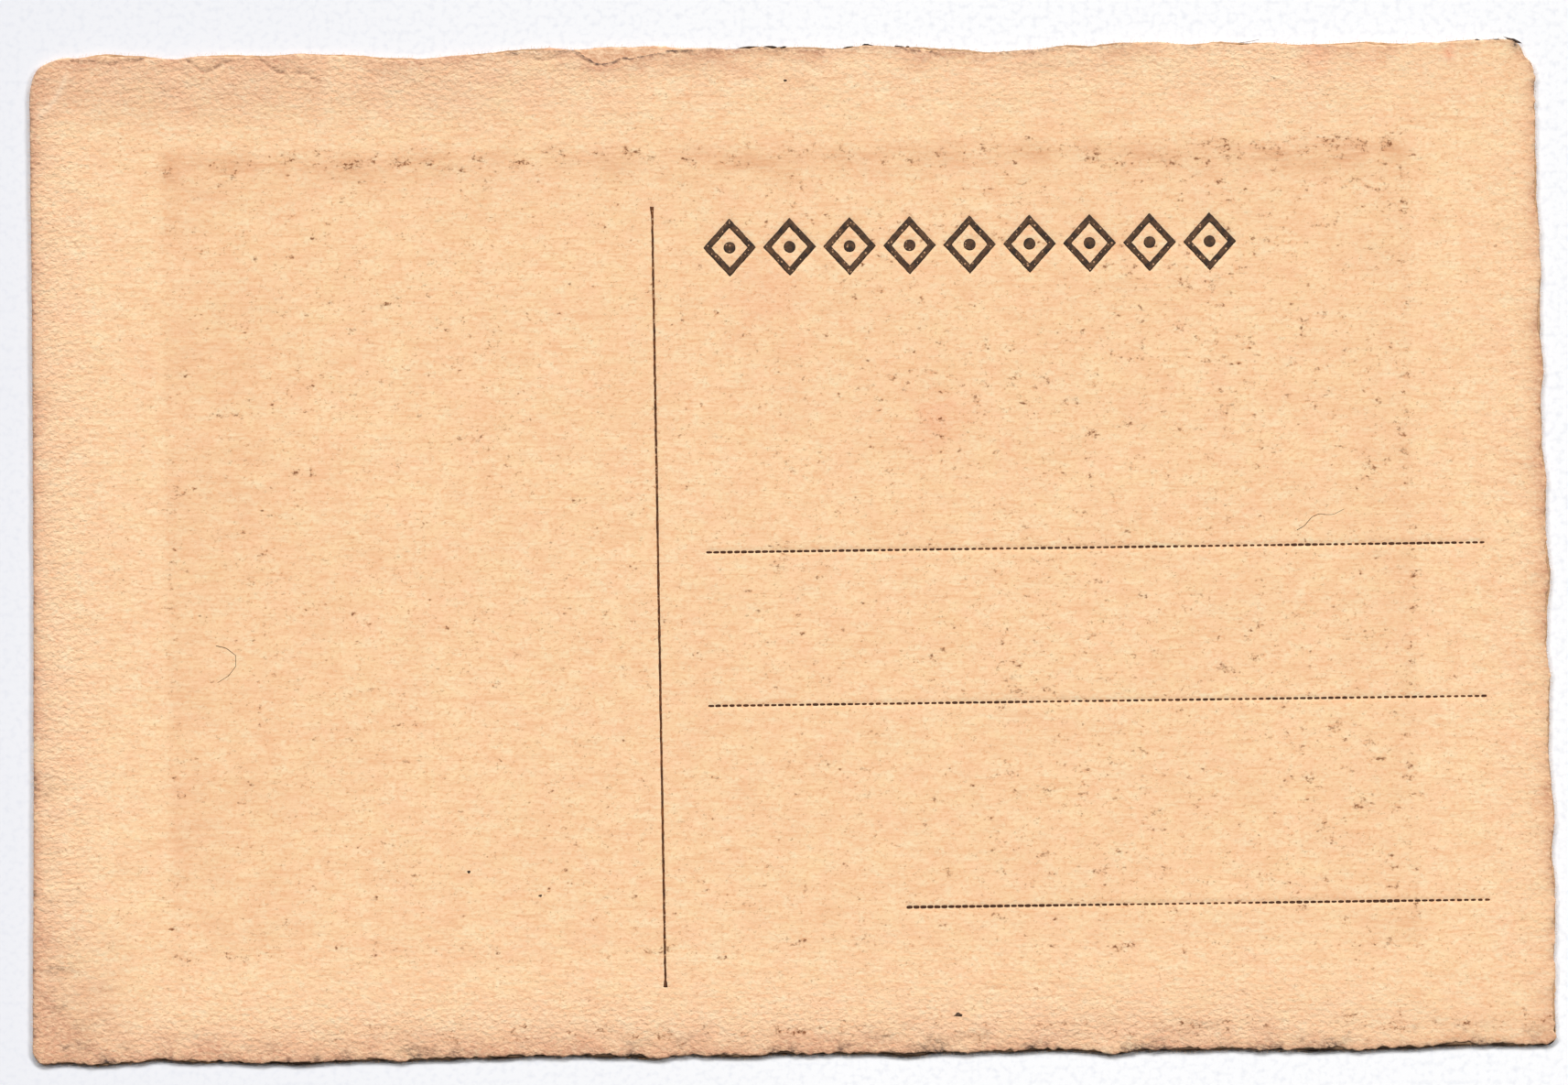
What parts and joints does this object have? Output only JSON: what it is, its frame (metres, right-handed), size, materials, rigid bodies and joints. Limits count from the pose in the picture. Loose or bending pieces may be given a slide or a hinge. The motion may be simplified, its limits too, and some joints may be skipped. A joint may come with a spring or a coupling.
{
  "type": "picture postcard",
  "caption": "Old picture postcard on heavy deckle-edged board, with a ruled and beaded address side over a framed picture side.",
  "frame": {"origin": "under the middle of the card, on the surface that its picture side lies on", "axes": "+X along the card's length to the right of the address side, +Y up its height, +Z out of the address side"},
  "size_m": [0.141, 0.0937, 0.0005],
  "materials": {
    "board_core": "rough fibrous torn board",
    "address_paper": "toned matt paper with a felt grain",
    "picture_paper": "toned matt paper with a felt grain",
    "paste": "dried starch paste",
    "letterpress_ink": "worn brown-black printing ink",
    "border_ink": "matt brown-black printing ink",
    "sky_tint": "grained flat tint",
    "ridge_tint": "grained flat tint",
    "hill_tint": "grained flat tint",
    "meadow_tint": "grained flat tint",
    "tree_tint": "grained flat tint"
  },
  "bodies": {
    "root": {"core_ply": "board_core", "address_side_ply": "address_paper", "picture_side_ply": "picture_paper", "upper_paste_film": "paste", "lower_paste_film": "paste", "divider_rule": "letterpress_ink", "upper_address_line": "letterpress_ink", "middle_address_line": "letterpress_ink", "lower_address_line": "letterpress_ink", "headpiece_lozenges": "letterpress_ink", "headpiece_dots": "letterpress_ink", "picture_border": "border_ink", "picture_sky": "sky_tint", "picture_far_ridge": "ridge_tint", "picture_near_hill": "hill_tint", "picture_meadow": "meadow_tint", "picture_trees": "tree_tint"}
  },
  "joints": []
}
